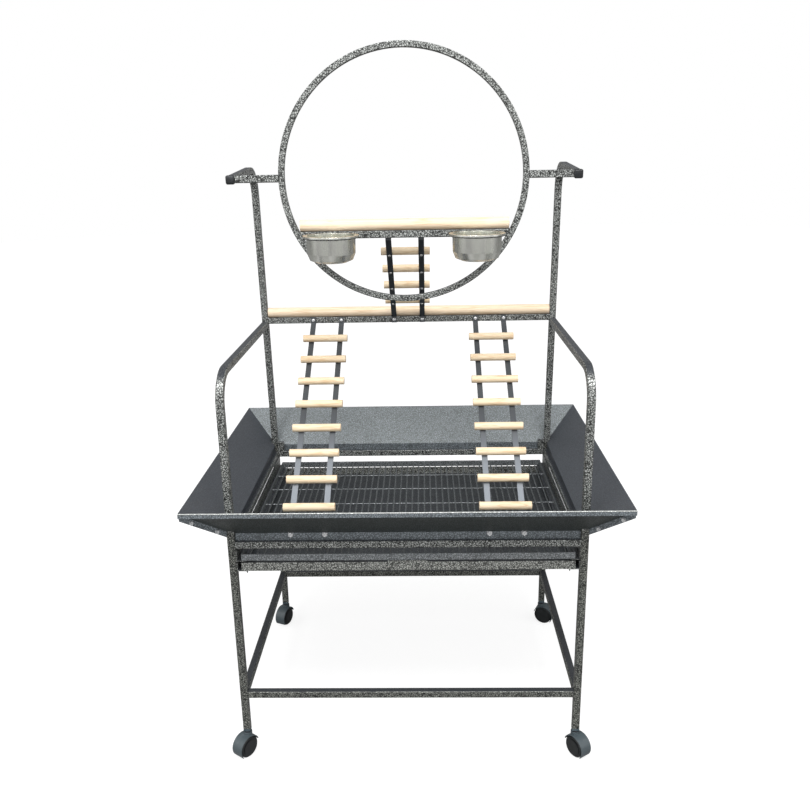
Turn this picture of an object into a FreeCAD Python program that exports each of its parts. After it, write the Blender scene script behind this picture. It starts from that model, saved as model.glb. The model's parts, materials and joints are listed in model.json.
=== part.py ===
import FreeCAD, Part

import math
import os
import re

import Sketcher
from FreeCAD import Placement, Rotation, Vector

# A wheeled play stand for a parrot: a low square-tube base with a slide-out grate and tray,
# four sloping seed guards, and two canes that carry a ring with a perch, two bowls and ladders.
# +X is the stand's right, +Y its back, +Z up; the origin is on the floor under its centre.

# Every size that can be chosen by itself, in millimetres, degrees or counts.
SIZES = {
    # square tube of the frame
    "tube": 16,
    "wall": 1.2,
    "corner": 1.2,
    "weld_gap": 0.05,
    "cope_gap": 0.25,
    # base frame: spacing of the leg centre lines and heights of the members' centre lines
    "span_x": 750,
    "span_y": 563,
    "foot_z": 68,
    "joint_z": 560,
    "stretcher_z": 158.7,
    "rail_z": 530.8,
    "spigot_length": 70,
    "plug_gap": 0.1,
    # upper frame
    "bend_r": 65,
    "arm_z": 900,
    "lean": 4.1,
    "crank_z": 600,
    "cane_overhang": 10,
    "cap": 3,
    "cap_plug": 12,
    # ring, its crossbar and the two perches
    "ring_r": 271,
    "ring_tube": 13,
    "ring_corner": 1.2,
    "ring_z": 1276,
    "ring_y": -25,
    "crossbar_z": 1154,
    "perch_bar_z": 910,
    "perch_dia": 25,
    "perch_end_gap": 1.5,
    "ring_perch_gap": 2.4,
    # seed guards: one folded sheet on each side of the base
    "guard_sheet": 1.2,
    "guard_flange": 18,
    "guard_reach": 83.5,
    "guard_rise": 80,
    "guard_hem": 9,
    "guard_mitre_flange": 14,
    "guard_gap": 0.3,
    "notch_gap": 0.6,
    "clip_width": 17,
    "clip_depth": 7.4,
    "clip_height": 27,
    # tray and the angles that carry it
    "tray_sheet": 1,
    "tray_height": 19.5,
    "tray_depth": 560,
    "tray_side_gap": 10,
    "tray_z": 470.8,
    "tab_half": 43,
    "tab_rise": 3,
    "runner_sheet": 1.5,
    "runner_setback": 2,
    "runner_web": 18,
    "tray_ledge": 22,
    "tray_lip": 4,
    "slide_gap": 0.3,
    # grate and the angles that carry it
    "grate_z": 493.7,
    "grate_side_gap": 11,
    "grate_setback": 2,
    "grate_depth": 557,
    "grate_bar": 3,
    "grate_height": 15,
    "grate_ledge": 20,
    "wire_dia": 3,
    "wire_pitch": 15,
    "wire_drop": 1,
    "cross_gap": 0.2,
    "cross_bays": 6,
    # ladders
    "strap_thick": 3,
    "strap_width": 13,
    "strap_tab": 16,
    "ladder_gauge": 73,
    "ladder_x": 211,
    "ladder_foot_z": 553,
    "rear_ladder_drop": 6,
    "rung_dia": 18,
    "rung_length": 112,
    "rung_pitch": 73.2,
    "rung_first": 66,
    "rung_seat": 0.05,
    # bowls and their hoops
    "bowl_x": 155,
    "bowl_y": -100,
    "bowl_rim_z": 1160,
    "bowl_depth": 57,
    "bowl_rim_r": 60,
    "bowl_mouth_r": 52.5,
    "bowl_base_r": 51.5,
    "bowl_wall": 1,
    "bowl_lip": 4,
    "bowl_round": 19,
    "hoop_wire": 5,
    "hoop_gap": 1,
    "hoop_stem": 6,
    # casters
    "wheel_dia": 50,
    "wheel_width": 10.5,
    "wheel_ease": 3,
    "wheel_gap": 0.5,
    "caster_trail": 9,
    "heading_front_left": 235,
    "heading_front_right": 305,
    "heading_rear_left": 247,
    "heading_rear_right": 335,
    "axle_dia": 6,
    "running_gap": 0.05,
    "press_gap": 0.02,
    "hood_web": 6,
    "hood_wall": 2,
    "hood_gap": 1.2,
    "hood_side": 0.5,
    "hood_lead": 20,
    "hood_low": 35,
    "hood_below_axle": 12,
    "hood_top": 58,
    "hood_boss_dia": 20,
    "hood_boss_height": 20,
    "stem_dia": 10,
    "stem_seat": 7,
    "stem_collar_dia": 15,
    "stem_reach": 30,
    "socket_flange": 6,
    "socket_plug": 38,
    "socket_end_gap": 4,
}

doc = FreeCAD.newDocument("PlayStand")
sheet = doc.addObject("Spreadsheet::Sheet", "Sizes")
for row, (alias, value) in enumerate(SIZES.items(), 1):
    sheet.set("A%d" % row, str(value))
    sheet.setAlias("A%d" % row, alias)
doc.recompute()

# The sub-parts, in the order in which they are made.
nodes = []


# ---- how a size reaches the model ----


def bind(item, prop, expression):
    """Binds a property to an expression in which each size name is its cell of the sheet."""

    def cell(match):
        return "Sizes." + match.group() if match.group() in SIZES else match.group()

    item.setExpression(prop, re.sub(r"[a-z]\w*", cell, str(expression)))


def place(item, x="0", y="0", z="0", rotation=Rotation()):
    """Stands an object at a bound position, turned by a fixed rotation."""
    item.Placement = Placement(Vector(), rotation)
    bind(item, "Placement.Base.x", x)
    bind(item, "Placement.Base.y", y)
    bind(item, "Placement.Base.z", z)


def node(item, name):
    """Labels a finished object as one sub-part of the stand."""
    item.Label = name
    nodes.append(item)
    return item


def about(axis, degrees):
    return Rotation(axis, degrees)


X_AXIS = Vector(1, 0, 0)
Y_AXIS = Vector(0, 1, 0)
Z_AXIS = Vector(0, 0, 1)


# ---- sketches ----


def sketch_on(body, name, role, lift="0"):
    """A sketch on one of the body's own origin planes, lifted along the plane's normal."""
    sketch = body.newObject("Sketcher::SketchObject", name)
    plane = next(face for face in body.Origin.OriginFeatures if face.Role == role)
    sketch.AttachmentSupport = [(plane, "")]
    sketch.MapMode = "FlatFace"
    bind(sketch, "AttachmentOffset.Base.z", lift)
    return sketch


def hold(sketch, geometry, end, x, y, rough):
    """Holds one point of a sketch at its two signed distances from the origin."""
    for kind, expression, start in (("DistanceX", x, rough.x), ("DistanceY", y, rough.y)):
        index = sketch.addConstraint(Sketcher.Constraint(kind, -1, 1, geometry, end, start))
        bind(sketch, "Constraints[%d]" % index, expression)


def outline(sketch, corners):
    """A closed polygon through corners given as expressions."""
    first = sketch.GeometryCount
    count = len(corners)
    turn = 2 * math.pi / count
    rough = [Vector(math.cos(turn * i), math.sin(turn * i), 0) for i in range(count)]
    for i in range(count):
        sketch.addGeometry(Part.LineSegment(rough[i], rough[(i + 1) % count]))
    for i in range(count):
        sketch.addConstraint(Sketcher.Constraint("Coincident", first + i, 2, first + (i + 1) % count, 1))
    for i, (x, y) in enumerate(corners):
        hold(sketch, first + i, 1, x, y, rough[i])


def rectangle(sketch, low_x, low_y, high_x, high_y):
    outline(sketch, [(low_x, low_y), (high_x, low_y), (high_x, high_y), (low_x, high_y)])


def circle(sketch, x, y, radius):
    index = sketch.addGeometry(Part.Circle(Vector(1, 1, 0), Z_AXIS, 1))
    hold(sketch, index, 3, x, y, Vector(1, 1, 0))
    size = sketch.addConstraint(Sketcher.Constraint("Radius", index, 1.0))
    bind(sketch, "Constraints[%d]" % size, radius)


def rod_section(sketch, x, y, dia):
    """An eight-sided wire section, whose flats are the wire's diameter apart."""
    corners = []
    for i in range(8):
        angle = 22.5 + 45 * i
        reach = "(%s) / 2 / cos(22.5)" % dia
        corners.append(("%s + %s * cos(%s)" % (x, reach, angle), "%s + %s * sin(%s)" % (y, reach, angle)))
    outline(sketch, corners)


def tube_outline(sketch, side, corner, y="0"):
    """A square with eased corners, centred at a height on the sketch's vertical axis."""
    half = "(%s) / 2" % side
    flat = "((%s) / 2 - (%s))" % (side, corner)
    points = [(half, "-" + flat), (half, flat), (flat, half), ("-" + flat, half)]
    points += [("-" + half, flat), ("-" + half, "-" + flat), ("-" + flat, "-" + half), (flat, "-" + half)]
    outline(sketch, [(a, "%s + %s" % (y, b)) for a, b in points])


# ---- features ----


def new_body(name):
    return doc.addObject("PartDesign::Body", name)


def pad(body, sketch, length, centred=True, backward=False):
    feature = body.newObject("PartDesign::Pad", sketch.Name + "_pad")
    feature.Profile = sketch
    feature.SideType = "Symmetric" if centred else "One side"
    feature.Reversed = backward
    bind(feature, "Length", length)
    return feature


def pocket(body, sketch, length, centred=True, backward=False):
    feature = body.newObject("PartDesign::Pocket", sketch.Name + "_pocket")
    feature.Profile = sketch
    feature.SideType = "Symmetric" if centred else "One side"
    feature.Reversed = backward
    bind(feature, "Length", length)
    return feature


def revolve(body, sketch, axis):
    feature = body.newObject("PartDesign::Revolution", sketch.Name + "_turned")
    feature.Profile = sketch
    feature.ReferenceAxis = (sketch, [axis])
    feature.Angle = 360
    return feature


def repeat(body, feature, sketch, axis, length, count):
    """Repeats a feature along one of its sketch's axes."""
    pattern = body.newObject("PartDesign::LinearPattern", feature.Name + "_row")
    pattern.Originals = [feature]
    pattern.Direction = (sketch, [axis])
    bind(pattern, "Length", length)
    bind(pattern, "Occurrences", count)
    body.Tip = pattern
    return pattern


def compound(name, items):
    """One sub-part made of several like pieces."""
    group = doc.addObject("Part::Compound", name)
    group.Links = items
    return node(group, name)


def inner(side):
    return "(%s) - 2 * wall" % side


def hollow_section(body, name, role, lift="0"):
    """The section of the frame's square tube, its outer corners eased."""
    section = sketch_on(body, name + "_section", role, lift)
    tube_outline(section, "tube", "corner")
    bore = "(%s) / 2" % inner("tube")
    rectangle(section, "-" + bore, "-" + bore, bore, bore)
    return section


def straight_tube(name, role, length, x, y, z, centred=True):
    body = new_body(name)
    pad(body, hollow_section(body, name, role), length, centred)
    place(body, x, y, z)
    return node(body, name)


SIDES = (("left", -1), ("right", 1))
ENDS = (("front", -1), ("rear", 1))


# ---- base frame ----

for end, back in ENDS:
    for side, right in SIDES:
        straight_tube(
            "%s_leg_%s" % (end, side),
            "XY_Plane",
            "joint_z - foot_z",
            "%d * span_x / 2" % right,
            "%d * span_y / 2" % back,
            "foot_z",
            centred=False,
        )

# Each level has a front, a rear, a left and a right member, butted against the legs.
for level, height in (("stretcher", "stretcher_z"), ("rail", "rail_z")):
    for end, back in ENDS:
        straight_tube(
            "%s_%s" % (level, end), "YZ_Plane", "span_x - tube", "0", "%d * span_y / 2" % back, height
        )
    for side, right in SIDES:
        straight_tube(
            "%s_%s" % (level, side), "XZ_Plane", "span_y - tube", "%d * span_x / 2" % right, "0", height
        )

PLUG = "(tube - 2 * wall - 2 * plug_gap)"

# Solid square spigots join the legs to the tubes above them.
spigots = []
for end, back in ENDS:
    for side, right in SIDES:
        bar = doc.addObject("Part::Box", "spigot_%s_%s" % (end, side))
        bind(bar, "Length", PLUG)
        bind(bar, "Width", PLUG)
        bind(bar, "Height", "spigot_length")
        place(
            bar,
            "%d * span_x / 2 - %s / 2" % (right, PLUG),
            "%d * span_y / 2 - %s / 2" % (back, PLUG),
            "joint_z - spigot_length / 2",
        )
        spigots.append(bar)
compound("tube_spigots", spigots)


# ---- upper frame: front arms and rear posts, each one bent tube ----


def post_y(height):
    """Where the leaning rear post's centre line is at a height above its crank."""
    return "(span_y / 2 - (%s - crank_z) * tan(lean))" % height


def swept_tube(body, name, path):
    """The frame's tube swept along a path that starts upward at the body's origin."""
    outer = sketch_on(body, name + "_outside", "XY_Plane")
    tube_outline(outer, "tube", "corner")
    tube = body.newObject("PartDesign::AdditivePipe", name + "_tube")
    tube.Profile = outer
    tube.Spine = (path, [])
    bore = sketch_on(body, name + "_inside", "XY_Plane")
    half = "(%s) / 2" % inner("tube")
    rectangle(bore, "-" + half, "-" + half, half, half)
    hollow = body.newObject("PartDesign::SubtractivePipe", name + "_hollow")
    hollow.Profile = bore
    hollow.Spine = (path, [])


def arc(sketch, centre, radius, low, high):
    return sketch.addGeometry(
        Part.ArcOfCircle(Part.Circle(centre, Z_AXIS, radius), math.radians(low), math.radians(high))
    )


def tie(sketch, kind, *where):
    return sketch.addConstraint(Sketcher.Constraint(kind, *where))


def bent(sketch, geometry, radius):
    bind(sketch, "Constraints[%d]" % tie(sketch, "Radius", geometry, radius), "bend_r")


for side, right in SIDES:
    name = "side_arm_" + side
    arm = new_body(name)
    path = sketch_on(arm, name + "_path", "YZ_Plane")
    rise = SIZES["arm_z"] - SIZES["joint_z"]
    bend = SIZES["bend_r"]
    run = SIZES["span_y"]
    up = path.addGeometry(Part.LineSegment(Vector(0, 0, 0), Vector(0, rise - bend, 0)))
    turn = arc(path, Vector(bend, rise - bend, 0), bend, 90, 180)
    along = path.addGeometry(Part.LineSegment(Vector(bend, rise, 0), Vector(run, rise, 0)))
    tie(path, "Coincident", up, 1, -1, 1)
    tie(path, "Vertical", up)
    tie(path, "Horizontal", along)
    tie(path, "Tangent", up, 2, turn, 2)
    tie(path, "Tangent", turn, 1, along, 1)
    bent(path, turn, bend)
    hold(
        path, along, 2, post_y("arm_z") + " + span_y / 2", "arm_z - joint_z", Vector(run, rise, 0)
    )
    swept_tube(arm, name, path)
    # The arm's end is cut to the leaning face of the rear post.
    face = sketch_on(arm, name + "_end_cut", "YZ_Plane")
    corners = []
    past_post = " + 3 * tube"
    for height, beyond in (("- tube", ""), ("- tube", past_post), ("+ tube", past_post), ("+ tube", "")):
        level = "(arm_z %s)" % height
        corners.append(
            (
                post_y(level) + " + span_y / 2 - tube / 2 / cos(lean)" + beyond,
                level + " - joint_z",
            )
        )
    outline(face, corners)
    pocket(arm, face, "2 * tube")
    place(arm, "%d * span_x / 2" % right, "-span_y / 2", "joint_z")
    node(arm, name)

# The cane's tip hangs past the ring; its droop is square to the post's lean.
TIP_Y = "(ring_y - cane_overhang)"
TIP_Z = "(ring_z - cane_overhang * tan(lean))"

for side, right in SIDES:
    name = "rear_post_" + side
    post = new_body(name)
    path = sketch_on(post, name + "_path", "YZ_Plane")
    lean = math.radians(SIZES["lean"])
    bend = SIZES["bend_r"]
    crank = SIZES["crank_z"] - SIZES["joint_z"]
    reach = SIZES["span_y"] / 2 - SIZES["ring_y"] + SIZES["cane_overhang"]
    tip = Vector(-reach, SIZES["ring_z"] - SIZES["joint_z"], 0)
    leaning = Vector(-math.sin(lean), math.cos(lean), 0)
    drooping = Vector(-math.cos(lean), -math.sin(lean), 0)
    low = Vector(0, crank, 0)
    high = low + leaning * (tip - low).dot(leaning)
    start = low - Vector(0, bend * math.tan(lean / 2), 0)
    up = path.addGeometry(Part.LineSegment(Vector(), start))
    first = arc(
        path, Vector(-bend, crank - bend * math.tan(lean / 2), 0), bend, 0, SIZES["lean"]
    )
    stem = path.addGeometry(Part.LineSegment(low + leaning * bend * math.tan(lean / 2), high - leaning * bend))
    second = arc(path, high - leaning * bend + drooping * bend, bend, SIZES["lean"], 90 + SIZES["lean"])
    cane = path.addGeometry(Part.LineSegment(high + drooping * bend, tip))
    tie(path, "Coincident", up, 1, -1, 1)
    tie(path, "Vertical", up)
    for before, after in ((up, first), (first, stem), (stem, second), (second, cane)):
        tie(path, "Tangent", before, 2, after, 1)
    bent(path, first, bend)
    bent(path, second, bend)
    tie(path, "Perpendicular", stem, cane)
    bind(
        path,
        "Constraints[%d]" % tie(path, "DistanceY", -1, 1, up, 2, crank),
        "crank_z - joint_z - bend_r * tan(lean / 2)",
    )
    bind(path, "Constraints[%d]" % tie(path, "Angle", stem, math.pi / 2 + lean), "90 + lean")
    hold(path, cane, 2, TIP_Y + " - span_y / 2", TIP_Z + " - joint_z", tip)
    swept_tube(post, name, path)
    place(post, "%d * span_x / 2" % right, "span_y / 2", "joint_z")
    node(post, name)

# Push-in caps close the canes' tips.
caps = []
for side, right in SIDES:
    name = "cane_cap_" + side
    body = new_body(name)
    head = sketch_on(body, name + "_head", "XZ_Plane")
    tube_outline(head, "tube", "corner")
    pad(body, head, "cap", centred=False)
    plug = sketch_on(body, name + "_plug", "XZ_Plane")
    rectangle(plug, "-%s / 2" % PLUG, "-%s / 2" % PLUG, "%s / 2" % PLUG, "%s / 2" % PLUG)
    pad(body, plug, "cap_plug", centred=False, backward=True)
    place(body, "%d * span_x / 2" % right, TIP_Y, TIP_Z, about(X_AXIS, 1))
    bind(body, "Placement.Rotation.Angle", "lean")
    caps.append(body)
compound("cane_caps", caps)


# ---- ring, its arms, crossbar and perches ----

RING_INNER = "(ring_r - ring_tube)"

ring = new_body("ring")
section = sketch_on(ring, "ring_section", "YZ_Plane")
tube_outline(section, "ring_tube", "ring_corner", "(ring_r - ring_tube / 2)")
half = "(%s) / 2" % inner("ring_tube")
centre = "(ring_r - ring_tube / 2)"
rectangle(section, "-" + half, "%s - %s" % (centre, half), half, "%s + %s" % (centre, half))
revolve(ring, section, "H_Axis")
place(ring, "0", "ring_y", "ring_z")
node(ring, "ring")

for side, right in SIDES:
    name = "ring_arm_" + side
    arm = new_body(name)
    pad(
        arm,
        hollow_section(arm, name, "YZ_Plane", "ring_r - tube / 2"),
        "span_x / 2 - ring_r",
        centred=False,
    )
    cope = sketch_on(arm, name + "_cope", "XZ_Plane")
    circle(cope, "0", "0", "ring_r + cope_gap")
    pocket(arm, cope, "2 * tube")
    place(arm, "0", "ring_y", "ring_z", about(Z_AXIS, 0 if right > 0 else 180))
    node(arm, name)

crossbar = straight_tube("crossbar", "YZ_Plane", "2 * " + RING_INNER, "0", "ring_y", "crossbar_z")
cope = sketch_on(crossbar, "crossbar_cope", "XZ_Plane")
circle(cope, "0", "ring_z - crossbar_z", RING_INNER + " - cope_gap")
circle(cope, "0", "ring_z - crossbar_z", "2 * ring_r")
pocket(crossbar, cope, "2 * tube")

straight_tube("perch_bar", "YZ_Plane", "span_x - tube", "0", post_y("perch_bar_z"), "perch_bar_z")


def rod_across(name, dia, length, x, y, z):
    """A round wooden rod along X, centred on a point."""
    rod = doc.addObject("Part::Cylinder", name)
    bind(rod, "Radius", "(%s) / 2" % dia)
    bind(rod, "Height", length)
    place(rod, "%s - (%s) / 2" % (x, length), y, z, about(Y_AXIS, 90))
    return rod


node(
    rod_across(
        "main_perch",
        "perch_dia",
        "(span_x - tube - 2 * perch_end_gap)",
        "0",
        post_y("perch_bar_z"),
        "perch_bar_z + tube / 2 + perch_dia / 2",
    ),
    "main_perch",
)
# The ring perch lies on the crossbar and its lower edge just clears the ring at both ends.
PERCH_DROP = "(ring_z - crossbar_z - tube / 2)"
node(
    rod_across(
        "ring_perch",
        "perch_dia",
        "2 * (sqrt(%s ^ 2 - %s ^ 2) - ring_perch_gap)" % (RING_INNER, PERCH_DROP),
        "0",
        "ring_y",
        "crossbar_z + tube / 2 + perch_dia / 2",
    ),
    "ring_perch",
)


# ---- seed guards ----

GUARD_HYP = "sqrt(guard_reach ^ 2 + guard_rise ^ 2)"
# How far a fold's corner stands off the centre lines' meeting point, at the foot and at the top edge.
FOOT_FOLD = "(guard_sheet / 2 * (%s - guard_rise) / guard_reach)" % GUARD_HYP
HEM_FOLD = "(guard_sheet / 2 * guard_reach / (%s - guard_rise))" % GUARD_HYP
GUARD_TOP = "(guard_flange + guard_rise)"


def seed_guard(name, half_span):
    """One guard, with its length along X, its slope toward -Y and its foot on the rail's top."""
    body = new_body(name)
    plate = "guard_sheet / 2"

    def slope(out):
        return "(guard_flange + (%s) * guard_rise / guard_reach)" % out

    # The joining flanges start as a strip under the slope; all but its mitred ends is cut away.
    strip = sketch_on(body, name + "_strip", "YZ_Plane")
    near, far = "(tube / 2 + notch_gap)", "(guard_reach - guard_sheet)"
    outline(
        strip,
        [
            ("-" + near, slope(near)),
            ("-" + far, slope(far)),
            ("-" + far, slope(far) + " - guard_mitre_flange"),
            ("-" + near, slope(near) + " - guard_mitre_flange"),
        ],
    )
    pad(body, strip, "2 * (%s + 2 * guard_reach)" % half_span)
    mitre = "(%s - guard_gap / sqrt(2))" % half_span
    middle = sketch_on(body, name + "_middle", "XY_Plane")
    edge = "(%s - guard_sheet * sqrt(2))" % mitre
    out = "(guard_reach + guard_sheet)"
    outline(
        middle,
        [
            ("-" + edge, "0"),
            ("-(%s + %s)" % (edge, out), "-" + out),
            ("%s + %s" % (edge, out), "-" + out),
            (edge, "0"),
        ],
    )
    pocket(body, middle, "4 * " + GUARD_TOP)
    skin = sketch_on(body, name + "_skin", "YZ_Plane")
    outline(
        skin,
        [
            (plate, "0"),
            (plate, "guard_flange + " + FOOT_FOLD),
            ("-guard_reach - " + plate, GUARD_TOP + " + " + HEM_FOLD),
            ("-guard_reach - " + plate, GUARD_TOP + " - guard_hem"),
            ("-guard_reach + " + plate, GUARD_TOP + " - guard_hem"),
            ("-guard_reach + " + plate, GUARD_TOP + " - " + HEM_FOLD),
            ("-" + plate, "guard_flange - " + FOOT_FOLD),
            ("-" + plate, "0"),
        ],
    )
    pad(body, skin, "2 * (%s + 2 * guard_reach)" % half_span)
    # Both ends are mitred at 45 degrees and notched round the leg.
    ends = sketch_on(body, name + "_mitres", "XY_Plane")
    notches = sketch_on(body, name + "_notches", "XY_Plane")
    beyond = "(%s + 3 * guard_reach)" % half_span
    past = "(2 * guard_reach)"
    for sign in ("-", ""):
        outline(
            ends,
            [
                ("%s(%s - tube)" % (sign, mitre), "tube"),
                ("%s(%s + %s)" % (sign, mitre, past), "-" + past),
                (sign + beyond, "-" + past),
                (sign + beyond, "tube"),
            ],
        )
        outline(
            notches,
            [
                ("%s(%s - tube / 2 - notch_gap)" % (sign, half_span), "tube"),
                ("%s(%s - tube / 2 - notch_gap)" % (sign, half_span), "-(tube / 2 + notch_gap)"),
                ("%s(%s + tube)" % (sign, half_span), "-(tube / 2 + notch_gap)"),
                ("%s(%s + tube)" % (sign, half_span), "tube"),
            ],
        )
    pocket(body, ends, "4 * " + GUARD_TOP)
    pocket(body, notches, "4 * " + GUARD_TOP)
    return node(body, name)


RAIL_TOP = "rail_z + tube / 2"
place(seed_guard("seed_guard_front", "span_x / 2"), "0", "-span_y / 2", RAIL_TOP)
place(seed_guard("seed_guard_right", "span_y / 2"), "span_x / 2", "0", RAIL_TOP, about(Z_AXIS, 90))
place(seed_guard("seed_guard_rear", "span_x / 2"), "0", "span_y / 2", RAIL_TOP, about(Z_AXIS, 180))
place(seed_guard("seed_guard_left", "span_y / 2"), "-span_x / 2", "0", RAIL_TOP, about(Z_AXIS, 270))

# Two blocks on the rear rail hold the rear guard's flange beside the posts.
clips = []
for side, right in SIDES:
    clip = doc.addObject("Part::Box", "guard_clip_" + side)
    bind(clip, "Length", "clip_width")
    bind(clip, "Width", "clip_depth")
    bind(clip, "Height", "clip_height")
    inner_face = "(span_x / 2 - tube / 2)"
    place(
        clip,
        inner_face + " - clip_width" if right > 0 else "-" + inner_face,
        "span_y / 2 - guard_sheet / 2 - clip_depth",
        RAIL_TOP,
    )
    clips.append(clip)
compound("guard_clips", clips)


# ---- tray, grate and the angles they slide on ----


def runner(name, right, height, web, ledge, lip):
    """An angle welded to the inner faces of a front and a rear leg, with its ledge turned inward."""
    body = new_body(name)
    section = sketch_on(body, name + "_section", "XZ_Plane")
    corners = [
        ("0", "-runner_sheet"),
        ("0", web),
        ("-runner_sheet", web),
        ("-runner_sheet", "0"),
        ("-" + ledge, "0"),
    ]
    if lip:
        corners += [
            ("-" + ledge, "-runner_sheet - " + lip),
            ("-%s + runner_sheet" % ledge, "-runner_sheet - " + lip),
            ("-%s + runner_sheet" % ledge, "-runner_sheet"),
        ]
    else:
        corners.append(("-" + ledge, "-runner_sheet"))
    outline(section, corners)
    pad(body, section, "span_y + tube - 2 * runner_setback")
    place(body, "%d * (span_x - tube) / 2" % right, "0", height, about(Z_AXIS, 0 if right > 0 else 180))
    return node(body, name)


# The grate's angles reach up to the rails, so nothing falls out between them.
TO_RAIL = "(rail_z - tube / 2 - weld_gap - grate_z + slide_gap)"
for side, right in SIDES:
    runner("tray_runner_" + side, right, "tray_z - slide_gap", "runner_web", "tray_ledge", "tray_lip")
    runner("grate_runner_" + side, right, "grate_z - slide_gap", TO_RAIL, "grate_ledge", None)

# The tray is a shallow pan whose front wall has a raised pull in the middle.
tray = new_body("tray")
TRAY_HALF = "((span_x - tube) / 2 - tray_side_gap)"
pan = sketch_on(tray, "tray_pan", "XY_Plane")
rectangle(pan, "-" + TRAY_HALF, "0", TRAY_HALF, "tray_depth")
pad(tray, pan, "tray_height", centred=False)
hollow = sketch_on(tray, "tray_hollow", "XY_Plane", "tray_height")
rectangle(
    hollow,
    "-(%s - tray_sheet)" % TRAY_HALF,
    "tray_sheet",
    "%s - tray_sheet" % TRAY_HALF,
    "tray_depth - tray_sheet",
)
pocket(tray, hollow, "tray_height - tray_sheet", centred=False)
pull = sketch_on(tray, "tray_pull", "XY_Plane")
rectangle(pull, "-tab_half", "0", "tab_half", "tray_sheet")
pad(tray, pull, "tray_height + tab_rise", centred=False)
FRONT_FACE = "-(span_y + tube) / 2"
place(tray, "0", FRONT_FACE, "tray_z")
node(tray, "tray")

# The grate is a flat-bar frame with wires from front to back and a few cross wires below them.
grate = new_body("grate")
GRATE_HALF = "((span_x - tube) / 2 - grate_side_gap)"
frame = sketch_on(grate, "grate_frame", "XY_Plane")
rectangle(frame, "-" + GRATE_HALF, "0", GRATE_HALF, "grate_depth")
rectangle(
    frame,
    "-(%s - grate_bar)" % GRATE_HALF,
    "grate_bar",
    "%s - grate_bar" % GRATE_HALF,
    "grate_depth - grate_bar",
)
pad(grate, frame, "grate_height", centred=False)
WIRES = "(floor(2 * (%s - grate_bar) / wire_pitch) - 1)" % GRATE_HALF
WIRE_ROW = "((%s - 1) * wire_pitch)" % WIRES
WIRE_Z = "(grate_height - wire_drop - wire_dia / 2)"
long_wire = sketch_on(grate, "grate_long_wire", "XZ_Plane", "-grate_bar / 2")
rod_section(long_wire, "-%s / 2" % WIRE_ROW, WIRE_Z, "wire_dia")
first = pad(grate, long_wire, "grate_depth - grate_bar", centred=False, backward=True)
repeat(grate, first, long_wire, "H_Axis", WIRE_ROW, WIRES)
cross_wire = sketch_on(grate, "grate_cross_wire", "YZ_Plane")
BAY = "(grate_depth / cross_bays)"
rod_section(cross_wire, BAY, WIRE_Z + " - wire_dia - cross_gap", "wire_dia")
first = pad(grate, cross_wire, "2 * %s - grate_bar" % GRATE_HALF)
repeat(grate, first, cross_wire, "H_Axis", "(cross_bays - 2) * " + BAY, "cross_bays - 1")
place(grate, "0", FRONT_FACE + " + grate_setback", "grate_z")
node(grate, "grate")


# ---- ladders ----


def ladder(name, rungs, top_down, distance, height, x, y, z, rotation):
    """Two bent straps between two upright faces, and rungs spaced from the end at the perch bar.

    The strap's own origin is on the lower face at the lower fastening, with the upper face toward
    +Y at the given distance and the upper fastening at the given height.
    """
    run = "((%s) - strap_thick)" % distance
    rise = "((%s) - strap_tab)" % height
    slant = "sqrt(%s ^ 2 + %s ^ 2)" % (run, rise)
    fold = "(strap_thick / 2 * (%s - %s) / %s)" % (slant, rise, run)
    far = "(%s)" % distance
    low, high = "strap_tab / 2", "(%s) - strap_tab / 2" % height
    straps = []
    for side, right in SIDES:
        label = "%s_strap_%s" % (name, side)
        body = new_body(label)
        profile = sketch_on(body, label + "_profile", "YZ_Plane")
        outline(
            profile,
            [
                ("0", "-strap_tab / 2"),
                ("strap_thick", "-strap_tab / 2"),
                ("strap_thick", "%s - %s" % (low, fold)),
                (far, "%s - %s" % (high, fold)),
                (far, "(%s) + strap_tab / 2" % height),
                (far + " - strap_thick", "(%s) + strap_tab / 2" % height),
                (far + " - strap_thick", "%s + %s" % (high, fold)),
                ("0", "%s + %s" % (low, fold)),
            ],
        )
        pad(body, profile, "strap_width")
        place(body, "%d * ladder_gauge / 2" % right)
        straps.append(body)
    place(compound(name + "_straps", straps), x, y, z, rotation)
    off = "(strap_thick / 2 + rung_dia / 2 + rung_seat)"
    rods = []
    for i in range(rungs):
        along = "(rung_first + %d * rung_pitch)" % i
        if top_down:
            along = "(%s - %s)" % (slant, along)
        rods.append(
            rod_across(
                "%s_rung_%d" % (name, i + 1),
                "rung_dia",
                "rung_length",
                "0",
                "strap_thick / 2 + (%s * %s - %s * %s) / %s" % (along, run, off, rise, slant),
                "strap_tab / 2 + (%s * %s + %s * %s) / %s" % (along, rise, off, run, slant),
            )
        )
    place(compound(name + "_rungs", rods), x, y, z, rotation)


BAR_FRONT = "(%s - tube / 2)" % post_y("perch_bar_z")
GUARD_INNER = "(-span_y / 2 + guard_sheet / 2)"
for side, right in SIDES:
    ladder(
        "ladder_" + side,
        8,
        True,
        "%s - %s" % (BAR_FRONT, GUARD_INNER),
        "perch_bar_z - ladder_foot_z",
        "%d * ladder_x" % right,
        GUARD_INNER,
        "ladder_foot_z",
        Rotation(),
    )
ladder(
    "ladder_rear",
    4,
    False,
    BAR_FRONT + " - (ring_y + tube / 2)",
    "crossbar_z - rear_ladder_drop - perch_bar_z",
    "0",
    BAR_FRONT,
    "perch_bar_z",
    about(Z_AXIS, 180),
)


# ---- bowls and their hoops ----

HOOP_TOP = "(bowl_rim_z - bowl_wall - slide_gap)"
HOOP_R = "(bowl_mouth_r + hoop_gap + hoop_wire / 2)"
# Each hoop's stem passes below the bowl's turned-down lip.
STEM_Z = "(bowl_wall - bowl_lip + (hoop_wire - hoop_stem) / 2)"

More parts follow.
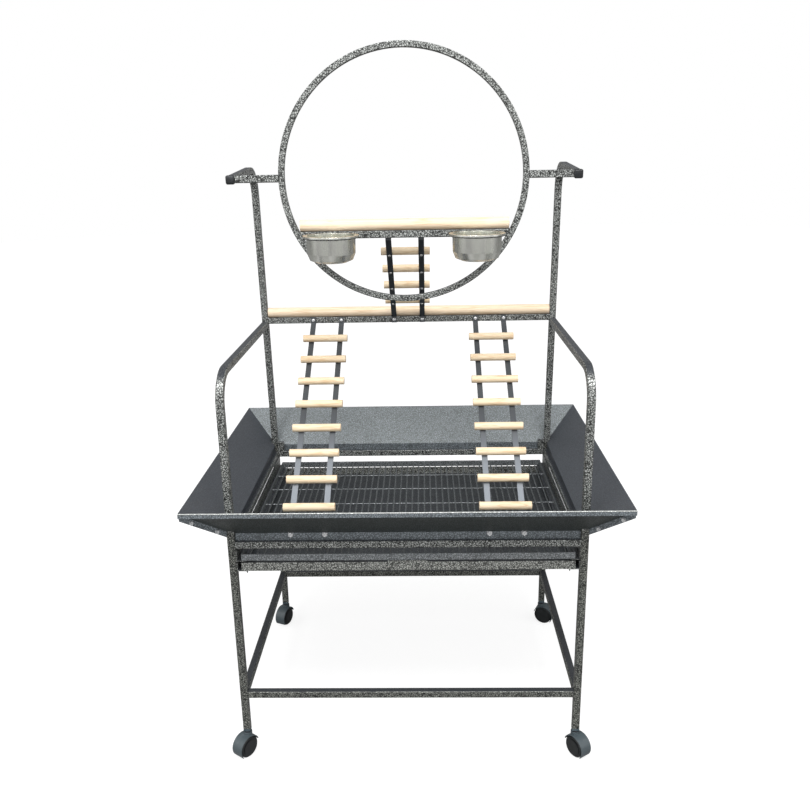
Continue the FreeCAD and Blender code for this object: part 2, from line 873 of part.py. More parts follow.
for side, right in SIDES:
    name = "bowl_" + side
    bowl = new_body(name)
    profile = sketch_on(bowl, name + "_profile", "XZ_Plane")
    flat = "(bowl_base_r - bowl_round)"
    outer, inner_face = [], []
    for angle in (0, 45, 90):
        reach = "* sin(%d)" % angle
        climb = "* (1 - cos(%d))" % angle
        outer.append(("%s + bowl_round %s" % (flat, reach), "bowl_round " + climb))
        inner_face.append(
            (
                "%s + (bowl_round - bowl_wall) %s" % (flat, reach),
                "bowl_wall + (bowl_round - bowl_wall) " + climb,
            )
        )
    rim = [
        ("bowl_mouth_r", "bowl_depth - bowl_wall"),
        ("bowl_rim_r - bowl_wall", "bowl_depth - bowl_wall"),
        ("bowl_rim_r - bowl_wall", "bowl_depth - bowl_lip"),
        ("bowl_rim_r", "bowl_depth - bowl_lip"),
        ("bowl_rim_r", "bowl_depth"),
        ("bowl_mouth_r - bowl_wall", "bowl_depth"),
    ]
    outline(profile, [("0", "0")] + outer + rim + inner_face[::-1] + [("0", "bowl_wall")])
    revolve(bowl, profile, "V_Axis")
    place(bowl, "%d * bowl_x" % right, "bowl_y", "bowl_rim_z - bowl_depth")
    node(bowl, name)

    name = "bowl_holder_" + side
    holder = new_body(name)
    wire = sketch_on(holder, name + "_wire", "YZ_Plane")
    rod_section(wire, HOOP_R, "0", "hoop_wire")
    revolve(holder, wire, "V_Axis")
    stem = sketch_on(holder, name + "_stem", "XZ_Plane", "-" + HOOP_R)
    circle(stem, "0", STEM_Z, "hoop_stem / 2")
    pad(
        holder,
        stem,
        "ring_y - tube / 2 - bowl_y - " + HOOP_R,
        centred=False,
        backward=True,
    )
    place(holder, "%d * bowl_x" % right, "bowl_y", HOOP_TOP + " - hoop_wire / 2")
    node(holder, name)


# ---- casters ----

WELL_R = "(wheel_dia / 2 + hood_gap)"
HOOD_R = "(wheel_dia / 2 + hood_gap + hood_wall)"
HOOD_WIDTH = "2 * (hood_web / 2 + wheel_gap + wheel_width + hood_side)"


def hood_profile(sketch):
    """The hood's side view: a round back over the wheels, drawn in to a point below the axle."""
    radius = SIZES["wheel_dia"] / 2 + SIZES["hood_gap"] + SIZES["hood_wall"]
    centre = Vector(SIZES["caster_trail"], SIZES["wheel_dia"] / 2, 0)
    low, high = -math.radians(SIZES["hood_low"]), math.pi - math.radians(SIZES["hood_lead"])
    start = centre + Vector(math.cos(low), math.sin(low), 0) * radius
    end = centre + Vector(math.cos(high), math.sin(high), 0) * radius
    point = centre - Vector(0, SIZES["hood_below_axle"], 0)
    back = sketch.addGeometry(Part.ArcOfCircle(Part.Circle(centre, Z_AXIS, radius), low, high))
    sketch.addGeometry(Part.LineSegment(end, point))
    sketch.addGeometry(Part.LineSegment(point, start))
    tie(sketch, "Coincident", back, 2, back + 1, 1)
    tie(sketch, "Coincident", back + 1, 2, back + 2, 1)
    tie(sketch, "Coincident", back + 2, 2, back, 1)
    hold(sketch, back, 3, "caster_trail", "wheel_dia / 2", centre)
    hold(sketch, back + 2, 1, "caster_trail", "wheel_dia / 2 - hood_below_axle", point)
    bind(sketch, "Constraints[%d]" % tie(sketch, "Radius", back, radius), HOOD_R)
    for end_point, place_y, expression in (
        (1, start.y, "wheel_dia / 2 - %s * sin(hood_low)" % HOOD_R),
        (2, end.y, "wheel_dia / 2 + %s * sin(hood_lead)" % HOOD_R),
    ):
        index = tie(sketch, "DistanceY", -1, 1, back, end_point, place_y)
        bind(sketch, "Constraints[%d]" % index, expression)


def caster(name, x, y, heading):
    """A twin-wheel caster whose wheels trail behind its stem along the heading."""

    def stand(item, x, y, z):
        place(item, x, y, z, about(Z_AXIS, 1))
        bind(item, "Placement.Rotation.Angle", heading)

    label = name + "_hood"
    hood = new_body(label)
    shell = sketch_on(hood, label + "_shell", "XZ_Plane")
    hood_profile(shell)
    pad(hood, shell, HOOD_WIDTH)
    boss = sketch_on(hood, label + "_boss", "XY_Plane", "hood_top - hood_boss_height")
    circle(boss, "0", "0", "hood_boss_dia / 2")
    pad(hood, boss, "hood_boss_height", centred=False)
    wells = sketch_on(hood, label + "_wells", "XZ_Plane")
    circle(wells, "caster_trail", "wheel_dia / 2", WELL_R)
    pocket(hood, wells, HOOD_WIDTH + " + tube")
    web = sketch_on(hood, label + "_web", "XZ_Plane")
    hood_profile(web)
    pad(hood, web, "hood_web")
    axle_bore = sketch_on(hood, label + "_axle_bore", "XZ_Plane")
    circle(axle_bore, "caster_trail", "wheel_dia / 2", "axle_dia / 2 + running_gap")
    pocket(hood, axle_bore, "2 * hood_web")
    stem_bore = sketch_on(hood, label + "_stem_bore", "XY_Plane", "hood_top")
    circle(stem_bore, "0", "0", "stem_dia / 2 + press_gap")
    pocket(hood, stem_bore, "stem_seat", centred=False)
    stand(hood, x, y, "0")
    node(hood, label)

    label = name + "_stem"
    stem = new_body(label)
    profile = sketch_on(stem, label + "_profile", "XZ_Plane")
    outline(
        profile,
        [
            ("0", "hood_top - stem_seat"),
            ("stem_dia / 2", "hood_top - stem_seat"),
            ("stem_dia / 2", "hood_top"),
            ("stem_collar_dia / 2", "hood_top"),
            ("stem_collar_dia / 2", "foot_z - socket_flange - slide_gap"),
            ("stem_dia / 2", "foot_z - socket_flange - slide_gap"),
            ("stem_dia / 2", "foot_z + stem_reach"),
            ("0", "foot_z + stem_reach"),
        ],
    )
    revolve(stem, profile, "V_Axis")
    stand(stem, x, y, "0")
    node(stem, label)

    label = name + "_wheel"
    pieces = []
    inside = "(hood_web / 2 + wheel_gap)"
    outside = "(%s + wheel_width)" % inside
    rim = "(wheel_dia / 2)"
    for side, right in SIDES:
        wheel = new_body("%s_%s" % (label, side))
        section = sketch_on(wheel, "%s_%s_section" % (label, side), "XY_Plane")
        outline(
            section,
            [
                ("0", inside),
                (rim, inside),
                (rim, outside + " - wheel_ease"),
                (rim + " - wheel_ease", outside),
                ("0", outside),
            ],
        )
        revolve(wheel, section, "V_Axis")
        place(wheel, rotation=about(Z_AXIS, 0 if right > 0 else 180))
        pieces.append(wheel)
    axle = doc.addObject("Part::Cylinder", label + "_axle")
    reach = "(%s - press_gap)" % inside
    bind(axle, "Radius", "axle_dia / 2")
    bind(axle, "Height", "2 * " + reach)
    place(axle, "0", reach, "0", about(X_AXIS, 90))
    pieces.append(axle)
    wheels = compound(label + "s", pieces)
    stand(
        wheels,
        "%s + caster_trail * cos(%s)" % (x, heading),
        "%s + caster_trail * sin(%s)" % (y, heading),
        "wheel_dia / 2",
    )


sockets = []
for end, back in ENDS:
    for side, right in SIDES:
        x, y = "%d * span_x / 2" % right, "%d * span_y / 2" % back
        caster("caster_%s_%s" % (end, side), x, y, "heading_%s_%s" % (end, side))
        label = "socket_%s_%s" % (end, side)
        socket = new_body(label)
        flange = sketch_on(socket, label + "_flange", "XY_Plane")
        tube_outline(flange, "tube", "corner")
        pad(socket, flange, "socket_flange", centred=False)
        plug = sketch_on(socket, label + "_plug", "XY_Plane")
        rectangle(plug, "-%s / 2" % PLUG, "-%s / 2" % PLUG, "%s / 2" % PLUG, "%s / 2" % PLUG)
        pad(socket, plug, "socket_flange + socket_plug", centred=False)
        bore = sketch_on(socket, label + "_bore", "XY_Plane")
        circle(bore, "0", "0", "stem_dia / 2 + running_gap")
        pocket(socket, bore, "socket_flange + stem_reach + socket_end_gap", centred=False, backward=True)
        place(socket, x, y, "foot_z - socket_flange")
        sockets.append(socket)
compound("caster_sockets", sockets)


# ---- check and write ----

doc.recompute()
faults = [
    "%s: %s" % (item.Label, item.State)
    for item in doc.Objects
    if "Invalid" in item.State or "Error" in item.State
]
for item in nodes:
    if item.Shape.isNull() or not item.Shape.isValid() or not item.Shape.Solids:
        faults.append(item.Label + ": no valid solid")
if faults:
    raise RuntimeError("\n".join(faults))

os.makedirs("parts", exist_ok=True)
for item in nodes:
    item.Shape.exportStep(os.path.join("parts", item.Label + ".step"))
print("%d sub-parts written" % len(nodes))
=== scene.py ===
import json
import math

import bmesh
import bpy
from mathutils import Matrix, Vector


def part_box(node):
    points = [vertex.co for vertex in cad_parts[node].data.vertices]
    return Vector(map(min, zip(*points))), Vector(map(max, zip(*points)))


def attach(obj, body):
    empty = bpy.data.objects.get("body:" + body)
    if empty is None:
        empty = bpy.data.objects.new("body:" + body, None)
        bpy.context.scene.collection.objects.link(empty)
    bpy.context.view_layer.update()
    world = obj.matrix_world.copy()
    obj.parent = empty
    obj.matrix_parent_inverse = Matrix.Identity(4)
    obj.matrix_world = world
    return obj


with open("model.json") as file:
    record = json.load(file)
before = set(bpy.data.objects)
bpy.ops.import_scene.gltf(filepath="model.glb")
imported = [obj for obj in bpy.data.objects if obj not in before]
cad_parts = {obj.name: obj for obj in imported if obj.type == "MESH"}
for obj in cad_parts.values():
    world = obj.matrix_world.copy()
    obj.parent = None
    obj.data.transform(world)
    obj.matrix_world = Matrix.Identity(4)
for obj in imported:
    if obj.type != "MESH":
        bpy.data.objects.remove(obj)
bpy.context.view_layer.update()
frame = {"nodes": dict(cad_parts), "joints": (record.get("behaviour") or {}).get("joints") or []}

# ---------------------------------------------------------------------------
# Base frame: 16 mm square steel tube, sawn, welded and sprayed with a
# silver-black hammertone powder coat. The coat pulls itself into small silver
# cells with dark outlines as it cures, and the whole stand wears it.
# ---------------------------------------------------------------------------


def node_group(name, inputs, outputs):
    """An empty shader node group with the given sockets, and its inner in and out nodes."""
    group = bpy.data.node_groups.new(name, "ShaderNodeTree")
    for label, kind, value in inputs:
        socket = group.interface.new_socket(name=label, in_out="INPUT", socket_type=kind)
        socket.default_value = value
    for label, kind in outputs:
        group.interface.new_socket(name=label, in_out="OUTPUT", socket_type=kind)
    return group, group.nodes.new("NodeGroupInput"), group.nodes.new("NodeGroupOutput")


def add_node(tree, kind, links=(), **values):
    """A node with its values set, and its named inputs linked from (input, node, output) rows."""
    made = tree.nodes.new(kind)
    for key, value in values.items():
        if hasattr(made, key):
            setattr(made, key, value)
        else:
            made.inputs[key.replace("_", " ").title()].default_value = value
    for into, source, out in links:
        tree.links.new(source.outputs[out], made.inputs[into])
    return made


def ramp(tree, source, out, low, high, low_value=0.0, high_value=1.0):
    """A value carried smoothly from one range to another."""
    made = tree.nodes.new("ShaderNodeMapRange")
    made.interpolation_type = "SMOOTHSTEP"
    made.inputs["From Min"].default_value = low
    made.inputs["From Max"].default_value = high
    made.inputs["To Min"].default_value = low_value
    made.inputs["To Max"].default_value = high_value
    tree.links.new(source.outputs[out], made.inputs["Value"])
    return made


def blend_colours(tree, factor, factor_out, dark, light):
    """A colour mix whose two ends are colours or (node, output) pairs."""
    made = tree.nodes.new("ShaderNodeMix")
    made.data_type = "RGBA"
    tree.links.new(factor.outputs[factor_out], made.inputs["Factor"])
    for slot_number, end in ((6, dark), (7, light)):
        if isinstance(end[0], float):
            made.inputs[slot_number].default_value = (*end, 1.0)
        else:
            tree.links.new(end[0].outputs[end[1]], made.inputs[slot_number])
    return made


def build_hammertone():
    tree, given, result = node_group(
        "hammertone",
        (
            ("Outline", "NodeSocketColor", (0.02, 0.022, 0.022, 1)),
            ("Cell", "NodeSocketColor", (0.3, 0.3, 0.3, 1)),
            ("Cells per metre", "NodeSocketFloat", 200.0),
            ("Evenness", "NodeSocketFloat", 0.0),
            ("Painted top light and shade", "NodeSocketColor", (0.1, 0.11, 0.115, 1)),
            ("Painted under shade", "NodeSocketColor", (0.04, 0.043, 0.04, 1)),
        ),
        (("Color", "NodeSocketColor"), ("Roughness", "NodeSocketFloat"), ("Height", "NodeSocketFloat")),
    )
    place = add_node(tree, "ShaderNodeTexCoord")
    wander = add_node(tree, "ShaderNodeTexNoise", [("Vector", place, "Object")], scale=140.0, detail=1.0)
    strayed = add_node(tree, "ShaderNodeVectorMath", [(0, wander, "Color")], operation="SCALE")
    stray_metres = 0.006
    strayed.inputs["Scale"].default_value = stray_metres
    spot = add_node(
        tree, "ShaderNodeVectorMath", [(0, place, "Object"), (1, strayed, "Vector")], operation="ADD"
    )
    cells = add_node(tree, "ShaderNodeTexVoronoi", [("Vector", spot, "Vector")], feature="DISTANCE_TO_EDGE")
    tree.links.new(given.outputs["Cells per metre"], cells.inputs["Scale"])
    fill = ramp(tree, cells, "Distance", 0.04, 0.26)
    drift = add_node(tree, "ShaderNodeTexNoise", [("Vector", place, "Object")], scale=38.0, detail=3.0)
    patch = ramp(tree, drift, "Fac", 0.30, 0.70, 0.78, 1.0)
    sown = add_node(
        tree, "ShaderNodeMath", [(0, fill, "Result"), (1, patch, "Result")], operation="MULTIPLY"
    )
    even = add_node(tree, "ShaderNodeMix", [("Factor", given, "Evenness"), ("A", sown, "Value")])
    level_fill = 0.45
    even.inputs["B"].default_value = level_fill
    colour = blend_colours(tree, even, "Result", (given, "Outline"), (given, "Cell"))
    # Faces that look up or down get plain tones of their own, matched to the photograph: painted shade on
    # faces that look down, and painted light and shade on faces that look up.
    upward = add_node(tree, "ShaderNodeSeparateXYZ", [("Vector", place, "Normal")])
    top_painted_shading = ramp(tree, upward, "Z", 0.66, 0.86, 0.0, 0.9)
    with_top_painted_shading = blend_colours(tree, top_painted_shading, "Result", (colour, 2), (given, "Painted top light and shade"))
    under_painted_shade = ramp(tree, upward, "Z", -0.45, -0.65, 0.0, 0.85)
    with_painted_shading = blend_colours(tree, under_painted_shade, "Result", (with_top_painted_shading, 2), (given, "Painted under shade"))
    sheen = ramp(tree, even, "Result", 0.0, 1.0, 0.46, 0.30)
    tree.links.new(with_painted_shading.outputs[2], result.inputs["Color"])
    tree.links.new(sheen.outputs["Result"], result.inputs["Roughness"])
    tree.links.new(even.outputs["Result"], result.inputs["Height"])
    return tree


HAMMERTONE = build_hammertone()


def finished(name, effect, values, metallic=0.0, bump=0.2, depth=0.0003, coat=0.0, specular=0.5):
    """A material whose colour, roughness and relief come from one of the shared effects."""
    made = bpy.data.materials.new(name)
    made.use_nodes = True
    tree = made.node_tree
    shader = tree.nodes["Principled BSDF"]
    shader.inputs["Metallic"].default_value = metallic
    shader.inputs["Coat Weight"].default_value = coat
    shader.inputs["Coat Roughness"].default_value = 0.25
    shader.inputs["Specular IOR Level"].default_value = specular
    pattern = tree.nodes.new("ShaderNodeGroup")
    pattern.node_tree = effect
    for label, value in values.items():
        colour = pattern.inputs[label].type == "RGBA"
        pattern.inputs[label].default_value = (*value, 1.0) if colour else value
    # This node rounds only how edges look, so that they catch a line of light.
    edge_round = tree.nodes.new("ShaderNodeBevel")
    edge_round.samples = 4
    edge_round.inputs["Radius"].default_value = 0.0015
    relief = tree.nodes.new("ShaderNodeBump")
    tree.links.new(edge_round.outputs["Normal"], relief.inputs["Normal"])
    relief.inputs["Strength"].default_value = bump
    relief.inputs["Distance"].default_value = depth
    tree.links.new(pattern.outputs["Color"], shader.inputs["Base Color"])
    tree.links.new(pattern.outputs["Roughness"], shader.inputs["Roughness"])
    tree.links.new(pattern.outputs["Height"], relief.inputs["Height"])
    tree.links.new(relief.outputs["Normal"], shader.inputs["Normal"])
    return made


def dress(material, *names):
    """The CAD nodes of those names take the material."""
    for name in names:
        node = frame["nodes"][name]
        node.data.materials.clear()
        node.data.materials.append(material)


CORNERS = ("front_left", "front_right", "rear_left", "rear_right")

# The plain tones that each paint below gives to faces looking up or down are painted light and shade, not
# tones of the coat.
frame_paint = finished(
    "frame_paint",
    HAMMERTONE,
    {
        "Outline": (0.014, 0.015, 0.014),
        "Cell": (0.52, 0.54, 0.52),
        "Cells per metre": 235.0,
        "Painted top light and shade": (0.045, 0.050, 0.060),
        "Painted under shade": (0.03, 0.032, 0.03),
    },
    metallic=0.3,
    bump=0.25,
    coat=0.25,
)
# The legs and the low stretchers take a darker copy of it, a painted shade.
shaded_base_paint = finished(
    "shaded_base_paint",
    HAMMERTONE,
    {
        "Outline": (0.012, 0.013, 0.012),
        "Cell": (0.31, 0.32, 0.29),
        "Cells per metre": 245.0,
        "Painted top light and shade": (0.045, 0.050, 0.058),
        "Painted under shade": (0.03, 0.032, 0.03),
    },
    metallic=0.3,
    bump=0.25,
    coat=0.25,
)
for corner in CORNERS:
    dress(shaded_base_paint, corner.replace("_", "_leg_"))
for way in ("front", "rear", "left", "right"):
    dress(shaded_base_paint, "stretcher_" + way)
    dress(frame_paint, "rail_" + way)
dress(frame_paint, "tube_spigots")

# ---------------------------------------------------------------------------
# Upper frame: two long bent side arms, two rear posts that sweep forward into
# canes, the ring with its short arms, the crossbar and the perch bar. All are
# the same tube with the same coat. Black plastic caps close the canes.
# ---------------------------------------------------------------------------

SIDES = ("left", "right")
for side in SIDES:
    dress(frame_paint, "side_arm_" + side, "rear_post_" + side, "ring_arm_" + side)
dress(frame_paint, "ring", "crossbar", "perch_bar")


def build_moulded():
    tree, given, result = node_group(
        "moulded_plastic",
        (
            ("Tint", "NodeSocketColor", (0.02, 0.02, 0.02, 1)),
            ("Dust", "NodeSocketColor", (0.1, 0.1, 0.1, 1)),
        ),
        (("Color", "NodeSocketColor"), ("Roughness", "NodeSocketFloat"), ("Height", "NodeSocketFloat")),
    )
    place = add_node(tree, "ShaderNodeTexCoord")
    grain = add_node(tree, "ShaderNodeTexNoise", [("Vector", place, "Object")], scale=900.0, detail=2.0)
    scuff = add_node(tree, "ShaderNodeTexNoise", [("Vector", place, "Object")], scale=60.0, detail=5.0)
    worn = ramp(tree, scuff, "Fac", 0.52, 0.78, 0.0, 0.6)
    colour = blend_colours(tree, worn, "Result", (given, "Tint"), (given, "Dust"))
    gloss = ramp(tree, scuff, "Fac", 0.3, 0.7, 0.34, 0.52)
    tree.links.new(colour.outputs[2], result.inputs["Color"])
    tree.links.new(gloss.outputs["Result"], result.inputs["Roughness"])
    tree.links.new(grain.outputs["Fac"], result.inputs["Height"])
    return tree


MOULDED = build_moulded()
black_plastic = finished(
    "black_plastic", MOULDED, {"Tint": (0.012, 0.014, 0.016), "Dust": (0.06, 0.065, 0.07)}, bump=0.12
)
dress(black_plastic, "cane_caps")


def make_piece(mesh, name, material, body):
    """The finished mesh as a piece of the stand that rides on a body."""
    bmesh.ops.remove_doubles(mesh, verts=mesh.verts, dist=1e-6)
    bmesh.ops.recalc_face_normals(mesh, faces=mesh.faces)
    data = bpy.data.meshes.new(name)
    mesh.to_mesh(data)
    mesh.free()
    piece = bpy.data.objects.new(name, data)
    bpy.context.scene.collection.objects.link(piece)
    data.materials.append(material)
    data.shade_smooth()
    data.set_sharp_from_angle(angle=math.radians(35))
    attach(piece, body)


# Each cap is a soft-cornered sleeve a little larger than the tube's end.
half_tube = 0.008
sleeve_width, sleeve_length, sleeve_inset, sleeve_round = 0.0192, 0.0125, 0.0048, 0.0038
cane_rise = Matrix.Rotation(math.radians(4.1), 3, "X")
cap_low, cap_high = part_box("cane_caps")
cap_z = (cap_low.z + cap_high.z) / 2
cap_sleeves = bmesh.new()
for x in (cap_low.x + half_tube, cap_high.x - half_tube):
    sleeve = bmesh.ops.create_cube(cap_sleeves, size=1.0)["verts"]
    bmesh.ops.scale(cap_sleeves, verts=sleeve, vec=(sleeve_width, sleeve_length, sleeve_width))
    bmesh.ops.rotate(cap_sleeves, verts=sleeve, cent=(0, 0, 0), matrix=cane_rise)
    bmesh.ops.translate(cap_sleeves, verts=sleeve, vec=(x, cap_low.y + sleeve_inset, cap_z))
bmesh.ops.bevel(
    cap_sleeves,
    geom=cap_sleeves.edges[:],
    offset=sleeve_round,
    segments=4,
    profile=0.5,
    affect="EDGES",
    material=-1,
)
make_piece(cap_sleeves, "cane_cap_sleeves", black_plastic, "stand")

# ---------------------------------------------------------------------------
# Seed guards: four folded steel sheets that flare from the rails, with a
# rolled lip, mitred at the corners and bolted together there through joining
# flanges. Two clips hold the rear one. Wide faces show the coat best.
# ---------------------------------------------------------------------------

guard_paint = finished(
    "guard_paint",
    HAMMERTONE,
    {
        "Outline": (0.055, 0.064, 0.070),
        "Cell": (0.34, 0.38, 0.41),
        "Cells per metre": 230.0,
        "Evenness": 0.3,
        "Painted top light and shade": (0.34, 0.36, 0.34),
        "Painted under shade": (0.026, 0.031, 0.027),
    },
    metallic=0.3,
    bump=0.25,
)
# The side guards take a darker copy of the guard paint: painted shade.
shaded_guard_paint = finished(
    "shaded_guard_paint",
    HAMMERTONE,
    {
        "Outline": (0.030, 0.034, 0.042),
        "Cell": (0.105, 0.120, 0.145),
        "Cells per metre": 230.0,
        "Evenness": 0.6,
        "Painted top light and shade": (0.20, 0.21, 0.22),
        "Painted under shade": (0.055, 0.060, 0.056),
    },
    metallic=0.3,
    bump=0.2,
)
dress(guard_paint, "seed_guard_rear", "seed_guard_front")
dress(shaded_guard_paint, "seed_guard_left", "seed_guard_right")
dress(frame_paint, "guard_clips")

# A thin rod along the front guard's lip, painted bright: a painted highlight on the rolled hem.
hem_radius, hem_inset = 0.0013, 0.0008
front_low, front_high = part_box("seed_guard_front")
hem_length = front_high.x - front_low.x
hem = bmesh.new()
bmesh.ops.create_cone(
    hem, cap_ends=True, segments=12, radius1=hem_radius, radius2=hem_radius, depth=hem_length
)
bmesh.ops.rotate(hem, verts=hem.verts, cent=(0, 0, 0), matrix=Matrix.Rotation(math.pi / 2, 3, "Y"))
bmesh.ops.translate(hem, verts=hem.verts, vec=(0, front_low.y + hem_inset, front_high.z - hem_inset))
hem_highlight_paint = finished(
    "hem_highlight_paint",
    HAMMERTONE,
    {
        "Outline": (0.30, 0.31, 0.30),
        "Cell": (0.74, 0.76, 0.74),
        "Cells per metre": 230.0,
        "Painted top light and shade": (0.74, 0.76, 0.74),
    },
    metallic=0.3,
)
make_piece(hem, "front_guard_hem_highlight", hem_highlight_paint, "stand")


def build_plated():
    tree, given, result = node_group(
        "plated_metal",
        (
            ("Bright", "NodeSocketColor", (0.7, 0.7, 0.7, 1)),
            ("Dull", "NodeSocketColor", (0.5, 0.5, 0.5, 1)),
            ("Stretch", "NodeSocketVector", (1.0, 1.0, 1.0)),
        ),
        (("Color", "NodeSocketColor"), ("Roughness", "NodeSocketFloat"), ("Height", "NodeSocketFloat")),
    )
    place = add_node(tree, "ShaderNodeTexCoord")
    along = add_node(
        tree, "ShaderNodeVectorMath", [(0, place, "Object"), (1, given, "Stretch")], operation="MULTIPLY"
    )
    streak = add_node(tree, "ShaderNodeTexNoise", [("Vector", along, "Vector")], scale=220.0, detail=3.0)
    shade = ramp(tree, streak, "Fac", 0.3, 0.7)
    colour = blend_colours(tree, shade, "Result", (given, "Dull"), (given, "Bright"))
    gloss = ramp(tree, streak, "Fac", 0.3, 0.7, 0.30, 0.14)
    tree.links.new(colour.outputs[2], result.inputs["Color"])
    tree.links.new(gloss.outputs["Result"], result.inputs["Roughness"])
    tree.links.new(streak.outputs["Fac"], result.inputs["Height"])
    return tree


PLATED = build_plated()
zinc = finished(
    "zinc_plate",
    PLATED,
    {"Bright": (0.86, 0.87, 0.88), "Dull": (0.62, 0.63, 0.65), "Stretch": (1.0, 1.0, 1.0)},
    metallic=0.75,
    bump=0.08,
)


def facing(spot, outward):
    """The transform that carries a thing made on +Z at the origin to a spot, looking outward."""
    turn = Vector(outward).to_track_quat("Z", "Y").to_matrix().to_4x4()
    return Matrix.Translation(Vector(spot)) @ turn


def hex_head(across, height):
    """A six-sided head with a pressed washer face and a shallow dished crown, made on +Z."""
    mesh = bmesh.new()
    bmesh.ops.create_cone(
        mesh, cap_ends=True, segments=24, radius1=across * 0.64, radius2=across * 0.61, depth=height * 0.2
    )
    bmesh.ops.translate(mesh, verts=mesh.verts, vec=(0, 0, height * 0.1))
    head = bmesh.ops.create_cone(
        mesh, cap_ends=True, segments=6, radius1=across / 1.732, radius2=across / 1.732, depth=height * 0.8
    )["verts"]
    bmesh.ops.translate(mesh, verts=head, vec=(0, 0, height * 0.6))
    crown = next(f for f in mesh.faces if len(f.verts) == 6 and f.calc_center_median().z > height * 0.9)
    bmesh.ops.bevel(
        mesh,
        geom=list(crown.edges),
        offset=across * 0.07,
        segments=2,
        profile=0.5,
        affect="EDGES",
        material=-1,
    )
    crown = max(mesh.faces, key=lambda f: (round(f.calc_center_median().z, 6), f.calc_area()))
    bmesh.ops.inset_region(mesh, faces=[crown], thickness=across * 0.10, depth=-height * 0.08)
    made = bpy.data.meshes.new("hex_head")
    mesh.to_mesh(made)
    mesh.free()
    return made


def dome_head(across, height):
    """A low domed screw head with a round recess in its crown, made on +Z."""
    mesh = bmesh.new()
    half_round = (
        (across * 0.50, 0.0),
        (across * 0.50, height * 0.25),
        (across * 0.44, height * 0.62),
        (across * 0.30, height * 0.90),
        (across * 0.16, height),
        (across * 0.12, height * 0.70),
        (0.0, height * 0.62),
    )
    outline = [mesh.verts.new((out, 0, up)) for out, up in half_round]
    edges = [mesh.edges.new(pair) for pair in zip(outline, outline[1:])]
    bmesh.ops.spin(
        mesh, geom=outline + edges, cent=(0, 0, 0), axis=(0, 0, 1), angle=math.tau, steps=18, use_merge=True
    )
    bmesh.ops.remove_doubles(mesh, verts=mesh.verts, dist=1e-6)
    bmesh.ops.recalc_face_normals(mesh, faces=mesh.faces)
    made = bpy.data.meshes.new("dome_head")
    mesh.to_mesh(made)
    mesh.free()
    return made


def fasten(mesh, head, spot, outward):
    """One more head, seated at the spot and looking outward."""
    there = len(mesh.verts)
    mesh.from_mesh(head)
    mesh.verts.ensure_lookup_table()
    bmesh.ops.transform(mesh, matrix=facing(spot, outward), verts=mesh.verts[there:])


# Two bolts close each mitred corner. The joining flange hangs in the corner's upright plane.
guard_flange, bolt_drop, half_joint = 0.018, 0.0085, 0.00135
corner_bolts = bmesh.new()
corner_head = hex_head(across=0.008, height=0.0035)
guard_low, guard_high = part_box("seed_guard_front")
leg_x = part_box("front_leg_right")[0].x + half_tube
leg_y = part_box("rear_leg_right")[0].y + half_tube
flare = (guard_high.z - guard_low.z - guard_flange) / (guard_high.x - leg_x)
for x_way in (-1, 1):
    for y_way in (-1, 1):
        outward = Vector((-x_way, y_way, 0)).normalized()
        for out in (0.024, 0.064):
            bolt_z = guard_low.z + guard_flange + out * flare - bolt_drop
            spot = Vector((x_way * (leg_x + out), y_way * (leg_y + out), bolt_z))
            for face in (outward, -outward):
                fasten(corner_bolts, corner_head, spot + face * half_joint, face)
make_piece(corner_bolts, "guard_corner_bolts", zinc, "stand")

# ---------------------------------------------------------------------------
# Tray and grate: a shallow steel sheet tray on two side runners, and over it a
# welded wire grate with a tray-like rim on runners of its own. Both slide out
# to the front for cleaning.
# ---------------------------------------------------------------------------

tray_paint = finished(
    "tray_paint",
    HAMMERTONE,
    {
        "Outline": (0.03, 0.031, 0.029),
        "Cell": (0.56, 0.575, 0.54),
        "Cells per metre": 245.0,
        "Evenness": 0.1,
        "Painted top light and shade": (0.042, 0.048, 0.056),
    },
    metallic=0.3,
    bump=0.2,
)
grate_paint = finished(
    "grate_paint",
    HAMMERTONE,
    {
        "Outline": (0.03, 0.033, 0.036),
        "Cell": (0.512, 0.544, 0.56),
        "Cells per metre": 260.0,
        "Evenness": 0.4,
    },
    metallic=0.45,
    bump=0.1,
)
dress(tray_paint, "tray")
dress(grate_paint, "grate")
for side in SIDES:
    dress(frame_paint, "tray_runner_" + side, "grate_runner_" + side)

# ---------------------------------------------------------------------------
# Perches and rungs: plain sanded pine dowel, turned and cut square. The grain
# runs along every rod.
# ---------------------------------------------------------------------------


